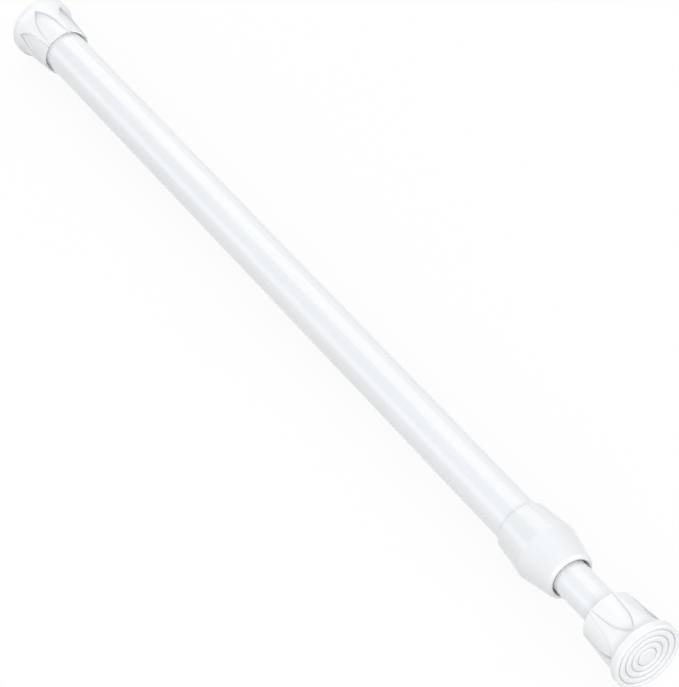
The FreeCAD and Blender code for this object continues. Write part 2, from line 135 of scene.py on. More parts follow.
class TubeSizes(bpy.types.PropertyGroup):
    """Sheet, edges and rolled groove of the two tubes."""
    wall: distance("Wall", "Coated sheet of both tubes", 0.5)
    edge_round: distance("Edge rounding", "Rounding of the cut tube edges", 0.12)
    groove_middle: distance("Groove middle", "From the thin tube's hidden end to its rolled groove", 7.0)
    groove_width: distance("Groove width", "Rolled groove of the thin tube", 2.0)
    groove_slope: distance("Groove slope", "Sloping side of the rolled groove", 0.5)
    groove_depth: distance("Groove depth", "Depth of the rolled groove", 0.3)
    sides: IntProperty(name="Sides", description="Faces round a tube", default=160, min=16)


class CollarSizes(bpy.types.PropertyGroup):
    """Outline of the double cone."""
    rear_radius: distance("Rear radius", "Collar at its rear lip", 9.5)
    rear_round: distance("Rear rounding", "Rounding of the rear lip", 0.4)
    ridge_place: distance("Ridge place", "From the rear lip to the ridge", 13.3)
    ridge_radius: distance("Ridge radius", "Collar at its ridge, before rounding", 11.05)
    ridge_round: distance("Ridge rounding", "Rounding of the ridge", 4.0)
    mouth_radius: distance("Mouth radius", "Collar at its mouth", 8.35)
    mouth_round: distance("Mouth rounding", "Rounding of the mouth", 1.4)
    bore_radius: distance("Bore radius", "Bore round the thin tube", 6.4)
    lead_width: distance("Lead-in width", "Radial width of the lead-in at the mouth", 0.3)
    lead_depth: distance("Lead-in depth", "Depth of the lead-in at the mouth", 2.5)
    # The next two place a ring of painted shade on the mouth's level end, round the thin tube.
    shaded_ring_radius: distance("Rubbed radius", "Outside of the rubbed ring at the mouth", 7.2)
    shaded_ring_fade: distance("Rubbed fade", "Width over which the rubbed ring fades out", 0.15)
    seat_radius: distance("Seat radius", "Seat round the thick tube", 8.02)
    seat_depth: distance("Seat depth", "From the rear lip to the shoulder in the collar", 21.7)
    edge_round: distance("Edge rounding", "Rounding of the inner edges", 0.2)
    sides: IntProperty(name="Sides", description="Faces round the collar", default=192, min=16)


class FootSizes(bpy.types.PropertyGroup):
    """Ringed face, flare, leaves and socket of a foot."""
    rim_round: distance("Rim rounding", "Rounding of the rim beside the face", 0.6)
    rim_back: distance("Rim back", "From the face to the back of the rim", 2.7)
    flare_end: distance("Flare end", "From the face to the end of the flare", 6.4)
    flare_radius: distance("Flare radius", "Foot at the end of the flare", 10.5)
    mouth_radius: distance("Mouth radius", "Foot at its tube end", 9.5)
    floor_depth: distance("Floor depth", "Solid end wall behind the face", 4.0)
    lead_width: distance("Lead-in width", "Radial width of the socket's lead-in", 0.6)
    lead_depth: distance("Lead-in depth", "Depth of the socket's lead-in", 1.6)
    socket_gap: distance("Socket gap", "Radial gap round the tube in the socket", 0.02)
    relief_depth: distance("Relief depth", "Depth of the grooves between the rings of the face", 0.5)
    first_groove: distance("First groove", "Radius of the groove round the button", 3.36)
    last_groove: distance("Last groove", "Radius of the groove inside the rim", 10.24)
    ring_count: IntProperty(name="Rings", description="Rings of the face", default=3, min=1)
    lip_top: distance("Lip top", "Level top of the rim beside its rounding", 0.1)
    edge_round: distance("Edge rounding", "Rounding of the moulded edges", 0.14)
    panel_count: IntProperty(name="Panels", description="Arched panels round a foot", default=6, min=3)
    panel_turn: FloatProperty(name="Panel turn", description="Angle of the first panel's middle",
                              default=math.radians(50), subtype="ANGLE", unit="ROTATION")
    panel_floor: distance("Panel floor", "Radius of the panels' round floor", 9.2)
    panel_apex: distance("Panel apex", "From the face to the point of an arch", 3.8)
    panel_spring: distance("Panel spring", "From the face to where an arch starts to close", 12.5)
    spring_width: distance("Width at spring", "Arch where it starts to close", 7.5)
    panel_mouth: distance("Width at mouth", "Arch at the tube end", 8.6)
    wall_width: distance("Wall width", "Sloping wall between a leaf and a panel", 0.36)
    # The next two set painted shade in the grooves of the face and halfway down the leaves' walls.
    unshaded_share: share("Clean share", "Share of the grooves' depth that carries no dust", 1 / 3)
    painted_wall_shade: share("Edge dust", "Most dust on a leaf's wall, where a groove's bottom has 1", 0.7)


class SpringSizes(bpy.types.PropertyGroup):
    """Wire and winding of the hidden spring."""
    coil_radius: distance("Coil radius", "Spring to the middle of its wire", 5.5)
    wire_radius: distance("Wire radius", "Half the wire's thickness", 0.6)
    ground: distance("Ground depth", "How far the wire's middle runs past the flat ends", 0.42)
    turns: IntProperty(name="Turns", description="Turns of the spring", default=8, min=1)
    turn_steps: IntProperty(name="Steps a turn", description="Wire circles in a turn", default=40, min=8)
    sides: IntProperty(name="Sides", description="Faces round the wire", default=20, min=6)
    pressed_share: share("Pressed share", "Length left when the spring is pressed home", 0.7)


class FinishColours(bpy.types.PropertyGroup):
    """Colours of the rod's finishes."""
    coat: tint("Coat", "White coating of the tubes", 0.87, 0.888, 0.905)
    collar: tint("Collar", "White moulded plastic of the collar", 0.86, 0.878, 0.89)
    rubber: tint("Rubber", "White rubber of the feet", 0.935, 0.948, 0.955)
    # The next two are painted shade: the first darkens the feet's grooves and the leaves' walls, the second
    # the collar's mouth round the thin tube.
    dust: tint("Dust", "Rubber dulled in the grooves and along the leaves", 0.5, 0.51, 0.52)
    mouth_shade: tint("Rubbed", "Collar where the thin tube rubs at its mouth", 0.2, 0.21, 0.22)
    nylon: tint("Nylon", "Natural plastic of the lock", 0.8, 0.78, 0.72)
    wire: tint("Wire", "Bright spring wire", 0.52, 0.52, 0.54)
    zinc: tint("Zinc", "Plating of the screw and washer", 0.66, 0.67, 0.69)


class StudioSizes(bpy.types.PropertyGroup):
    """Camera, lamps and floor."""
    camera_place: FloatVectorProperty(name="Camera place", description="Where the camera stands", size=3,
                                      default=(0.8876, -0.4231, 0.6857), subtype="TRANSLATION",
                                      unit="LENGTH")
    camera_pitch: FloatProperty(name="Camera pitch", description="How far the camera looks down",
                                default=math.radians(40.84), subtype="ANGLE", unit="ROTATION")
    camera_yaw: FloatProperty(name="Camera yaw", description="Camera's turn from looking along +Y",
                              default=math.radians(57.93), subtype="ANGLE", unit="ROTATION")
    lens: FloatProperty(name="Lens", description="Focal length in millimetres", default=164.8, min=1.0)
    floor: tint("Floor", "Pale studio floor", 0.35, 0.35, 0.35)
    floor_reach: FloatProperty(name="Floor reach", description="From the floor's middle to its sides",
                               default=6.0, min=0.0, subtype="DISTANCE", unit="LENGTH")
    floor_white: share("Floor white", "How far the floor gives way to its glow where it is seen", 0.7)
    floor_glow: FloatProperty(name="Floor glow", description="Strength of the floor's even glow",
                              default=1.28, min=0.0)
    ambient: FloatProperty(name="Ambient", description="Even light from all round", default=0.585, min=0.0)
    ambient_tint: tint("Ambient tint", "Colour of the even light", 0.97, 0.985, 1.0)


class RodSettings(bpy.types.PropertyGroup):
    """All the sizes and colours of the rod and its studio."""
    tubes: PointerProperty(type=TubeSizes)
    collar: PointerProperty(type=CollarSizes)
    feet: PointerProperty(type=FootSizes)
    spring: PointerProperty(type=SpringSizes)
    colours: PointerProperty(type=FinishColours)
    studio: PointerProperty(type=StudioSizes)


def unit(vectors):
    """Each vector of an array divided by its own length."""
    return vectors / np.linalg.norm(vectors, axis=-1, keepdims=True)


def ease(share_of_way):
    """Smooth step from 0 to 1: three squares less two cubes of the share, held at 0 and 1 outside."""
    held = np.clip(share_of_way, 0.0, 1.0)
    return held * held * (3.0 - 2.0 * held)


def soften(corners, closed, steps=9):
    """Outline whose corners are rounded, from rows of place along the rod, radius and rounding.

    A corner is cut back along both its sides by its rounding over the tangent of half its angle. An arc
    about the point that lies on the angle's middle line, the rounding over the sine of that half away,
    joins the two cuts. A guard point close to each cut keeps the straight runs flat.
    """
    corners = np.array(corners, float)
    points, rounding = corners[:, :2], corners[:, 2:]
    back = unit(np.roll(points, 1, 0) - points)
    ahead = unit(np.roll(points, -1, 0) - points)
    half = np.arccos(np.clip((back * ahead).sum(1, keepdims=True), -1.0, 1.0)) / 2
    cut = rounding / np.tan(half)
    start, end = points + back * cut, points + ahead * cut
    centre = points + unit(back + ahead) * rounding / np.sin(half)
    sweep = (math.pi - 2 * half)[:, :, None]
    way = np.linspace(0.0, 1.0, steps)[None, :, None]
    blend_start, blend_end = np.sin((1 - way) * sweep), np.sin(way * sweep)
    spokes = blend_start * (start - centre)[:, None] + blend_end * (end - centre)[:, None]
    arcs = centre[:, None] + spokes / np.sin(sweep)
    run = np.linalg.norm(np.roll(start, -1, 0) - end, axis=1, keepdims=True)
    guard = np.minimum(GUARD, run / 4)
    before = start + back * np.roll(guard, 1, 0)
    after = end + ahead * guard
    outline = np.concatenate([before[:, None], arcs, after[:, None]], axis=1).reshape(-1, 2)
    if not closed:
        outline = np.concatenate([points[:1], outline[steps + 1:-steps - 1], points[-1:]])
    moved = np.linalg.norm(outline - np.roll(outline, 1, 0), axis=1) > MERGE_DISTANCE
    return outline[moved]


def carry_round(outline, sides):
    """Grid of a turned piece: each outline point becomes a ring, at its place along the rod, whose points
    stand at equal angles, the radius times the cosine along Y and times the sine along Z."""
    angle = np.linspace(0.0, TURN, sides, endpoint=False)[None, :]
    along, radius = outline[:, :1], outline[:, 1:]
    return np.stack(np.broadcast_arrays(along, radius * np.cos(angle), radius * np.sin(angle)), axis=-1)


def skin(name, grid, closed, dust=None):
    """Closed mesh over a grid of rows and round columns, with its faces outwards.

    Neighbours in the grid share a four-sided face. The last row joins the first if closed, and otherwise
    the first and last rows are single points. The faces are turned over if the volume that they enclose,
    a sixth of the sum of their corners' triple products, comes out negative. The last argument gives each
    point a share of painted shade, which the finish reads as an attribute.
    """
    rows, columns = grid.shape[:2]
    points = grid.reshape(-1, 3)
    row, column = np.meshgrid(np.arange(rows if closed else rows - 1), np.arange(columns), indexing="ij")
    next_row, next_column = (row + 1) % rows, (column + 1) % columns
    faces = np.stack([row * columns + column, row * columns + next_column,
                      next_row * columns + next_column, next_row * columns + column], axis=-1).reshape(-1, 4)
    a, b, c, d = (points[faces[:, corner]] for corner in range(4))
    volume = (np.cross(a, b) * c).sum() + (np.cross(a, c) * d).sum()
    if volume < 0:
        faces = faces[:, ::-1]
    mesh = bpy.data.meshes.new(name)
    mesh.from_pydata(points.tolist(), [], faces.tolist())
    if dust is not None:
        layer = mesh.attributes.new("dust", "FLOAT", "POINT")
        layer.data.foreach_set("value", dust.astype(np.float32).ravel())
    merged = bmesh.new()
    merged.from_mesh(mesh)
    bmesh.ops.remove_doubles(merged, verts=merged.verts, dist=MERGE_DISTANCE)
    merged.to_mesh(mesh)
    merged.free()
    mesh.polygons.foreach_set("use_smooth", np.ones(len(mesh.polygons), bool))
    mesh.update()
    piece = bpy.data.objects.new(name, mesh)
    bpy.context.collection.objects.link(piece)
    return piece


def dress(piece, material, body, node):
    """Give a piece its finish and its body, and hide the node that it stands for."""
    piece.data.materials.append(material)
    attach(piece, body)
    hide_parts(node)


def tube_ends(node):
    """Rear end, front end and outer radius of a round node."""
    low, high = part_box(node)
    return low.x, high.x, (high.z - low.z) / 2


def thick_tube_outline(sizes):
    """Section of the plain tube: a long thin rectangle with rounded corners."""
    rear, front, outside = tube_ends("outer_tube")
    inside = outside - sizes.wall
    corners = ((rear, outside), (front, outside), (front, inside), (rear, inside))
    return soften([(*corner, sizes.edge_round) for corner in corners], closed=True)


def thin_tube_outline(sizes):
    """Section of the thin tube: a rectangle whose two long sides dip together at the rolled groove."""
    rear, front, outside = tube_ends("inner_tube")
    inside = outside - sizes.wall
    middle, half = rear + sizes.groove_middle, sizes.groove_width / 2
    dip = [
        (middle - half, 0.0),
        (middle - half + sizes.groove_slope, sizes.groove_depth),
        (middle + half - sizes.groove_slope, sizes.groove_depth),
        (middle + half, 0.0),
    ]
    outer_side = [(along, outside - depth) for along, depth in dip]
    inner_side = [(along, inside - depth) for along, depth in reversed(dip)]
    corners = [(rear, outside), *outer_side, (front, outside), (front, inside), *inner_side, (rear, inside)]
    return soften([(*corner, sizes.edge_round) for corner in corners], closed=True)


def collar_outline(sizes):
    """Section of the collar: two cones that meet in a rounded ridge, over a stepped bore."""
    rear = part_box("collar")[0].x
    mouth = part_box("collar")[1].x
    shoulder = rear + sizes.seat_depth
    return soften([
        (rear, sizes.rear_radius, sizes.rear_round),
        (rear + sizes.ridge_place, sizes.ridge_radius, sizes.ridge_round),
        (mouth, sizes.mouth_radius, sizes.mouth_round),
        (mouth, sizes.bore_radius + sizes.lead_width, sizes.edge_round / 2),
        (mouth - sizes.lead_depth, sizes.bore_radius, sizes.edge_round),
        (shoulder, sizes.bore_radius, sizes.edge_round),
        (shoulder, sizes.seat_radius, sizes.edge_round),
        (rear, sizes.seat_radius, sizes.edge_round),
    ], closed=True, steps=15)


def mouth_shade_share(outline, sizes):
    """Painted shade at each point of the collar's section, for the dark gap round the thin tube: it eases
    from
    0 to 1 over the fade, inwards from the shaded ring's outside, on the level end of the mouth alone."""
    level = outline[:, :1] > outline[:, 0].max() - GUARD
    return level * ease((sizes.shaded_ring_radius - outline[:, 1:]) / sizes.shaded_ring_fade)


def tangent_circle(run, rise, slope):
    """Radius of an arc that climbs by rise over run and then leads smoothly into a line of that slope."""
    return (run ** 2 + rise ** 2) * math.sqrt(1 + slope ** 2) / 2 / (rise - run * slope)


def leaf_radius(depth, sizes, rim_radius, length):
    """Radius of a leaf's outside at a depth behind the face: a hollow arc from the rim, then a taper."""
    slope = (sizes.flare_radius - sizes.mouth_radius) / (length - sizes.flare_end)
    curve = tangent_circle(sizes.flare_end - sizes.rim_back, rim_radius - sizes.flare_radius, slope)
    lean = math.atan(slope)
    centre_depth = sizes.flare_end + curve * math.sin(lean)
    centre_radius = sizes.flare_radius + curve * math.cos(lean)
    arc = centre_radius - np.sqrt(np.maximum(curve ** 2 - (depth - centre_depth) ** 2, 0.0))
    taper = sizes.flare_radius - slope * (depth - sizes.flare_end)
    return np.where(depth < sizes.flare_end, arc, taper)


def arch_sides(sizes, length):
    """Slope of an arch's straight sides, radius of its curves and their centre, which lies beyond the
    other side of the arch: depth behind the face and distance past the middle."""
    slope = (sizes.panel_mouth - sizes.spring_width) / 2 / (length - sizes.panel_spring)
    run = sizes.panel_spring - sizes.panel_apex
    curve = tangent_circle(run, sizes.spring_width / 2, slope)
    lean = math.atan(slope)
    centre_depth = sizes.panel_spring + curve * math.sin(lean)
    return slope, curve, centre_depth, curve * math.cos(lean) - sizes.spring_width / 2


def arch_half_width(depth, sizes, length):
    """Half the width of an arch at a depth behind the face, zero in front of its point."""
    slope, curve, centre_depth, past_middle = arch_sides(sizes, length)
    inside = np.maximum(curve ** 2 - (depth - centre_depth) ** 2, past_middle ** 2)
    straight = sizes.spring_width / 2 + slope * (depth - sizes.panel_spring)
    return np.where(depth < sizes.panel_spring, np.sqrt(inside) - past_middle, straight)


def inside_arch(depth, across, sizes, length):
    """Distance of a point inside an arch's outline, negative outside it: the curve's radius less the
    distance from its centre where the arch closes, and the distance from the straight side elsewhere."""
    slope, curve, centre_depth, past_middle = arch_sides(sizes, length)
    curved = curve - np.hypot(depth - centre_depth, np.abs(across) + past_middle)
    edge = sizes.spring_width / 2 + slope * (depth - sizes.panel_spring)
    straight = (edge - np.abs(across)) / math.hypot(1.0, slope)
    return np.where(depth < sizes.panel_spring, curved, straight)


def face_rows(sizes, rim_radius):
    """Rows of the ringed face from its middle out: depth and radius of the button, the rings and the lip.

    Each ring is a bead, sunk by the relief times the cube of the share of the way from its top to the
    groove on either side. The button and the lip run level and then fall to their grooves the same way.
    """
    pitch = (sizes.last_groove - sizes.first_groove) / sizes.ring_count
    lip = rim_radius - sizes.rim_round - sizes.lip_top
    share_of_way = np.linspace(0.0, 1.0, BEAD_ROWS)
    tops = sizes.first_groove + (np.arange(sizes.ring_count) + 0.5) * pitch
    across = np.concatenate([-share_of_way[::-1], share_of_way[1:]])
    radius = np.concatenate([
        sizes.first_groove - (1.0 - share_of_way) * pitch / 2,
        (tops[:, None] + across[1:] * pitch / 2).ravel(),
        lip - (1.0 - share_of_way[1:]) * (lip - sizes.last_groove),
    ])
    sunk = np.concatenate([share_of_way, np.tile(across[1:], sizes.ring_count), 1.0 - share_of_way[1:]])
    return np.stack([sizes.relief_depth * np.abs(sunk) ** 3, radius], axis=1)


def foot_rows(sizes, rim_radius, length, socket):
    """Rows of a foot from the face's middle to the socket's: depth behind the face, radius, and whether
    the panels are sunk into the row."""
    flare_start = sizes.rim_back + 2 * GUARD
    side_end = length - 2 * GUARD
    ends = leaf_radius(np.array([flare_start, side_end]), sizes, rim_radius, length)
    face = face_rows(sizes, rim_radius)
    rim = soften([
        (0.0, face[-1, 1] + GUARD / 4, 0.0),
        (0.0, rim_radius, sizes.rim_round),
        (sizes.rim_back, rim_radius, sizes.edge_round),
        (flare_start, ends[0], 0.0),
    ], closed=False, steps=7)
    face = np.concatenate([np.zeros((1, 2)), face, rim])
    flare = np.linspace(flare_start, sizes.flare_end, FLARE_ROWS)
    taper = np.linspace(sizes.flare_end, side_end, TAPER_ROWS)
    depth = np.concatenate([flare[1:], taper[1:-1]])
    side = np.stack([depth, leaf_radius(depth, sizes, rim_radius, length)], axis=1)
    edge = soften([
        (side_end, ends[1], 0.0),
        (length, sizes.mouth_radius, sizes.edge_round),
        (length, sizes.mouth_radius - 3 * GUARD, 0.0),
    ], closed=False, steps=7)
    bore = soften([
        (length, socket + sizes.lead_width + GUARD, 0.0),
        (length, socket + sizes.lead_width, sizes.edge_round / 2),
        (length - sizes.lead_depth, socket, sizes.edge_round),
        (sizes.floor_depth, socket, sizes.edge_round),
        (sizes.floor_depth, 0.0, 0.0),
    ], closed=False, steps=7)
    rows = np.concatenate([face, side, edge, bore])
    sunk = np.zeros((len(rows), 1))
    sunk[len(face):len(face) + len(side) + len(edge)] = 1.0
    return rows[:, :1], rows[:, 1:], sunk


def sector_columns(depth, radius, sizes, length):
    """Angles of the grid's columns from a panel's middle to the middle of the next leaf, row by row.

    Some columns share out the panel, some follow its wall and the rest share out the leaf. Near the face
    and in the socket they drift to equal steps, so that the rim, the rings and the bore are evenly divided.
    """
    sector = math.pi / sizes.panel_count
    half = np.maximum(arch_half_width(depth, sizes, length), NARROWEST_PANEL * sizes.wall_width)
    wall = WALL_PLACES * sizes.wall_width
    panel = PANEL_SHARES * (half + wall[0])
    across = np.concatenate([panel, half + wall], axis=1)
    angle = np.arcsin(across / np.maximum(radius, sizes.panel_floor))
    leaf_edge = angle[:, -1:]
    angle = np.concatenate([angle, leaf_edge + LEAF_SHARES * (sector - leaf_edge)], axis=1)
    even = np.linspace(0.0, sector, angle.shape[1])
    near_face = ease((sizes.panel_apex - depth) / (sizes.panel_apex - sizes.rim_round))
    near_socket = ease((sizes.mouth_radius - radius) / (sizes.mouth_radius - sizes.panel_floor) - 1.0)
    return angle + np.maximum(near_face, near_socket) * (even - angle)


def foot_grid(sizes, rim_radius, length, socket, face_place, facing):
    """Grid of a foot. Its radius is the leaf's, less a sunk share of the drop to the panel's round floor.
    The share eases from 0 to 1 across the wall, with the distance inside the arch over the wall's width.

    The second result is the painted shade at each point. On the face it eases from 0 at the unshaded share
    of the grooves' depth to 1 at their bottom. On a wall it is the wall's painted shade times four times the
    sunk share times the rest of it, which is most halfway down.
    """
    depth, radius, sunk = foot_rows(sizes, rim_radius, length, socket)
    half_sector = sector_columns(depth, radius, sizes, length)
    sector = np.concatenate([-half_sector[:, -2:0:-1], half_sector], axis=1)
    leaf = leaf_radius(depth, sizes, rim_radius, length)
    across = leaf * np.sin(sector)
    share_sunk = sunk * ease(inside_arch(depth, across, sizes, length) / sizes.wall_width + 0.5)
    sector_radius = radius - share_sunk * (leaf - sizes.panel_floor)
    middles = sizes.panel_turn + np.arange(sizes.panel_count) * TURN / sizes.panel_count
    angle = (middles[None, :, None] + sector[:, None, :]).reshape(len(depth), -1)
    full_radius = np.tile(sector_radius, (1, sizes.panel_count))
    along = np.broadcast_to(face_place - facing * depth, angle.shape)
    on_face = (depth <= sizes.relief_depth) & (radius < rim_radius - sizes.rim_round)
    # Painted shade: darkest at the grooves' bottoms and halfway down the leaves' walls.
    shade_way = (depth / sizes.relief_depth - sizes.unshaded_share) / (1.0 - sizes.unshaded_share)
    dust = on_face * ease(shade_way) + sizes.painted_wall_shade * 4.0 * share_sunk * (1.0 - share_sunk)
    grid = np.stack([along, full_radius * np.cos(angle), full_radius * np.sin(angle)], axis=-1)
    return grid, np.tile(dust, (1, sizes.panel_count))


def spring_grid(sizes):
    """Grid of the coil: the wire's circle carried along a helix of even pitch, held between the flat ends.

    The helix runs a little past both ends, and the circle lies across it, along the radius and the
    helix's binormal. Each end closes in the middle of its last circle.
    """
    rear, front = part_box("compression_spring")[0].x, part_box("compression_spring")[1].x
    share_of_way = np.linspace(0.0, 1.0, sizes.turn_steps * sizes.turns)[:, None]
    angle = TURN * sizes.turns * share_of_way
    rise = front - rear + 2 * sizes.ground
    along = rear - sizes.ground + rise * share_of_way
    nothing = np.zeros_like(angle)
    outwards = np.stack([nothing, np.cos(angle), np.sin(angle)], axis=-1)
    middle = np.stack([along, nothing, nothing], axis=-1) + outwards * sizes.coil_radius
    climb = rise / (TURN * sizes.turns * sizes.coil_radius)
    tangent = unit(np.stack([climb + nothing, -np.sin(angle), np.cos(angle)], axis=-1))
    binormal = np.cross(tangent, outwards)
    turn = np.linspace(0.0, TURN, sizes.sides, endpoint=False)[None, :, None]
    wire = middle + sizes.wire_radius * (np.cos(turn) * outwards + np.sin(turn) * binormal)
    wire[:, :, 0] = np.clip(wire[:, :, 0], rear, front)
    ends = wire[[0, -1]].mean(axis=1, keepdims=True).repeat(sizes.sides, axis=1)
    return np.concatenate([ends[:1], wire, ends[1:]])


def add_node(tree, kind, place, **settings):
    """Node of a tree at a place on its sheet, with its own settings."""
    node = tree.nodes.new(kind)
    node.location = place
    for name, value in settings.items():
        setattr(node, name, value)
    return node


def moulded_grain():
    """Shared group: a slow cloud that mixes two tones and two roughnesses, and a fine grain for bump.

    The cloud and the grain are noises of the piece's own coordinates, stretched along the rod.
    """
    found = bpy.data.node_groups.get("moulded_grain")
    if found:
        return found
    group = bpy.data.node_groups.new("moulded_grain", "ShaderNodeTree")
    for name, kind in (("Light Tone", "NodeSocketColor"), ("Dark Tone", "NodeSocketColor"),
                       ("Smooth", "NodeSocketFloat"), ("Rough", "NodeSocketFloat"),
                       ("Stretch", "NodeSocketVector"), ("Cloud Scale", "NodeSocketFloat"),
                       ("Grain Scale", "NodeSocketFloat")):
        group.interface.new_socket(name, in_out="INPUT", socket_type=kind)
    for name, kind in (("Color", "NodeSocketColor"), ("Roughness", "NodeSocketFloat"),
                       ("Height", "NodeSocketFloat")):
        group.interface.new_socket(name, in_out="OUTPUT", socket_type=kind)
    given = add_node(group, "NodeGroupInput", (-800, 0))
    result = add_node(group, "NodeGroupOutput", (600, 0))
    place = add_node(group, "ShaderNodeTexCoord", (-800, 300))
    stretched = add_node(group, "ShaderNodeVectorMath", (-560, 240), operation="MULTIPLY")
    cloud = add_node(group, "ShaderNodeTexNoise", (-320, 300))
    cloud.inputs["Detail"].default_value = CLOUD_DETAIL
    grain = add_node(group, "ShaderNodeTexNoise", (-320, -200))
    grain.inputs["Detail"].default_value = GRAIN_DETAIL
    grain.inputs["Roughness"].default_value = GRAIN_ROUGHNESS
    spread = add_node(group, "ShaderNodeMapRange", (-80, 300))
    spread.inputs["From Min"].default_value, spread.inputs["From Max"].default_value = CLOUD_SPREAD
    tone = add_node(group, "ShaderNodeMix", (200, 300), data_type="RGBA")
    cloud_part = add_node(group, "ShaderNodeMath", (-80, 120), operation="MULTIPLY")
    cloud_part.inputs[1].default_value = NOISE_SHARE
    both = add_node(group, "ShaderNodeMath", (-80, -40), operation="MULTIPLY_ADD")
    both.inputs[1].default_value = NOISE_SHARE
    rough = add_node(group, "ShaderNodeMapRange", (200, 0))
    rough.inputs["From Min"].default_value, rough.inputs["From Max"].default_value = ROUGHNESS_SPREAD
    link = group.links.new
    link(place.outputs["Object"], stretched.inputs[0])
    link(given.outputs["Stretch"], stretched.inputs[1])
    link(stretched.outputs["Vector"], cloud.inputs["Vector"])
    link(stretched.outputs["Vector"], grain.inputs["Vector"])
    link(given.outputs["Cloud Scale"], cloud.inputs["Scale"])
    link(given.outputs["Grain Scale"], grain.inputs["Scale"])
    link(cloud.outputs["Fac"], spread.inputs["Value"])
    link(spread.outputs["Result"], tone.inputs["Factor"])
    link(given.outputs["Dark Tone"], tone.inputs["A"])
    link(given.outputs["Light Tone"], tone.inputs["B"])
    link(spread.outputs["Result"], cloud_part.inputs[0])
    link(grain.outputs["Fac"], both.inputs[0])
    link(cloud_part.outputs["Value"], both.inputs[2])
    link(both.outputs["Value"], rough.inputs["Value"])
    link(given.outputs["Smooth"], rough.inputs["To Min"])
    link(given.outputs["Rough"], rough.inputs["To Max"])
    link(tone.outputs["Result"], result.inputs["Color"])
    link(rough.outputs["Result"], result.inputs["Roughness"])
    link(grain.outputs["Fac"], result.inputs["Height"])
    return group


def grained_material(name, colour, tone_drop, roughness, stretch, scales, bump, **sockets):
    """Finish with the shared grain: a colour that darkens a little in clouds, a roughness that wanders
    between two values and a fine bump. sockets sets plain values on the shader itself.

    tone_drop is the share by which the colour darkens, scales are the cloud's and the grain's, and bump is
    its strength and depth. The name isn't one of the record's slots, since the frame's own plain materials
    carry those names.
    """
    found = bpy.data.materials.get(name)
    if found:
        return found
    material = bpy.data.materials.new(name)
    material.use_nodes = True
    tree = material.node_tree
    tree.nodes.clear()
    surface = add_node(tree, "ShaderNodeOutputMaterial", (700, 0))
    shader = add_node(tree, "ShaderNodeBsdfPrincipled", (400, 0), name="shader")
    grain = add_node(tree, "ShaderNodeGroup", (-100, 0), name="grain", node_tree=moulded_grain())
    relief = add_node(tree, "ShaderNodeBump", (150, -260))
    grain.inputs["Light Tone"].default_value = (*colour, 1.0)
    grain.inputs["Dark Tone"].default_value = (*(value * (1.0 - tone_drop) for value in colour), 1.0)
    grain.inputs["Smooth"].default_value, grain.inputs["Rough"].default_value = roughness
    grain.inputs["Stretch"].default_value = stretch
    grain.inputs["Cloud Scale"].default_value, grain.inputs["Grain Scale"].default_value = scales
    relief.inputs["Strength"].default_value, relief.inputs["Distance"].default_value = bump
    for socket, value in sockets.items():
        shader.inputs[socket.replace("_", " ").title()].default_value = value
    link = tree.links.new
    link(grain.outputs["Color"], shader.inputs["Base Color"])
    link(grain.outputs["Roughness"], shader.inputs["Roughness"])
    link(grain.outputs["Height"], relief.inputs["Height"])
    link(relief.outputs["Normal"], shader.inputs["Normal"])
    link(shader.outputs["BSDF"], surface.inputs["Surface"])
    return material


def with_painted_shade(material, colour):
    """Finish with painted shade: its own colour gives way to a darker one as the piece's shade attribute
    goes from 0 to 1.
    """
    tree = material.node_tree
    if "dust" in tree.nodes:
        return material
    dust = add_node(tree, "ShaderNodeAttribute", (-100, 300), name="dust", attribute_name="dust")
    mixed = add_node(tree, "ShaderNodeMix", (150, 260), data_type="RGBA")
    mixed.inputs["B"].default_value = (*colour, 1.0)
    tree.links.new(dust.outputs["Fac"], mixed.inputs["Factor"])
    tree.links.new(tree.nodes["grain"].outputs["Color"], mixed.inputs["A"])
    tree.links.new(mixed.outputs["Result"], tree.nodes["shader"].inputs["Base Color"])
    return material


def sprayed_coat(colours):
    """Sprayed white coating: smooth and glossy, with a faint peel drawn out along the tube."""
    return grained_material("sprayed_coat", colours.coat, tone_drop=0.015, roughness=(0.24, 0.34),
                            stretch=(0.35, 1.0, 1.0), scales=(60.0, 900.0), bump=(0.05, 0.02 * MM),
                            coat_weight=1.0, coat_roughness=0.17)


def moulded_plastic(colours):
    """White moulded plastic: satin, with a soft cloud, a very fine mould texture and painted shade at the
    mouth.
    """
    material = grained_material("moulded_plastic", colours.collar, tone_drop=0.02, roughness=(0.28, 0.4),
                                stretch=(1.0, 1.0, 1.0), scales=(90.0, 2600.0), bump=(0.08, 0.02 * MM),
                                coat_weight=1.0, coat_roughness=0.13)
    return with_painted_shade(material, colours.mouth_shade)


def moulded_rubber(colours):
    """White rubber: satin to matt, with a fine even grain and painted shade in the grooves and along the
    walls.
    """
    material = grained_material("moulded_rubber", colours.rubber, tone_drop=0.025, roughness=(0.34, 0.48),
                                stretch=(1.0, 1.0, 1.0), scales=(130.0, 3400.0), bump=(0.12, 0.03 * MM),
                                coat_weight=0.4, coat_roughness=0.2)
    return with_painted_shade(material, colours.dust)


def lock_nylon(colours):
    """Natural plastic of the lock: milky, matt, with faint flow marks along the rod."""
    return grained_material("lock_nylon", colours.nylon, tone_drop=0.06, roughness=(0.42, 0.58),
                            stretch=(0.4, 1.0, 1.0), scales=(220.0, 3000.0), bump=(0.15, 0.03 * MM),
                            subsurface_weight=0.1)


def spring_wire(colours):
    """Bright drawn wire, with drawing marks round the coil."""
    return grained_material("spring_wire", colours.wire, tone_drop=0.2, roughness=(0.22, 0.42),
                            stretch=(3.0, 1.0, 1.0), scales=(300.0, 2400.0), bump=(0.2, 0.02 * MM),
                            metallic=1.0)


def zinc_plate(colours):
    """Bright zinc plating with a cloudy bloom."""
    return grained_material("zinc_plate", colours.zinc, tone_drop=0.14, roughness=(0.25, 0.45),
                            stretch=(1.0, 1.0, 1.0), scales=(420.0, 3600.0), bump=(0.15, 0.02 * MM),
                            metallic=1.0)


